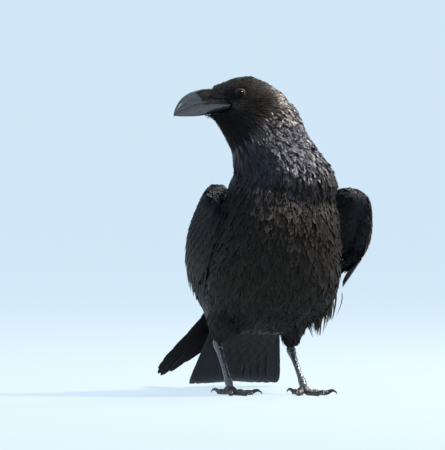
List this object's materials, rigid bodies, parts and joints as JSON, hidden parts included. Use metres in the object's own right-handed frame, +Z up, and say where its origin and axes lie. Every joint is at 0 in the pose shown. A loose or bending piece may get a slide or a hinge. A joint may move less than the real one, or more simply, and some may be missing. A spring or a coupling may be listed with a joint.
{
  "type": "raven",
  "caption": "Standing black raven, head turned to its right, wings held loosely, the left one crossing over the fanned tail: a still museum-type model.",
  "frame": {"origin": "bottom centre of the bounding box, on the floor that the feet and the tail tip rest on", "axes": "+Z up, -Y the way the breast faces, +X towards the bird's left side"},
  "size_m": [0.2698, 0.3762, 0.4141],
  "materials": {
    "plumage": "satin",
    "flight": "satin, blue sheen",
    "bill": "worn horn",
    "legs": "scaly",
    "claws": "horn",
    "eyes": "wet gloss"
  },
  "bodies": {
    "root": {"head": "plumage", "neck": "plumage", "back": "plumage", "breast": "plumage", "belly": "plumage", "right_thigh": "plumage", "left_thigh": "plumage", "tail_coverts": "plumage", "right_wing_shoulder": "plumage", "left_wing_shoulder": "plumage", "tail": "flight", "right_wing_secondaries": "flight", "right_wing_primaries": "flight", "right_first_primary": "flight", "left_wing_secondaries": "flight", "left_wing_primaries": "flight", "left_first_primary": "flight", "upper_bill": "bill", "lower_bill": "bill", "left_eye": "eyes", "right_eye": "eyes", "right_tarsus": "legs", "left_tarsus": "legs", "right_toe_1": "legs", "right_toe_2": "legs", "right_toe_3": "legs", "right_toe_4": "legs", "left_toe_1": "legs", "left_toe_2": "legs", "left_toe_3": "legs", "left_toe_4": "legs", "right_claw_1": "claws", "right_claw_2": "claws", "right_claw_3": "claws", "right_claw_4": "claws", "left_claw_1": "claws", "left_claw_2": "claws", "left_claw_3": "claws", "left_claw_4": "claws"}
  },
  "joints": []
}
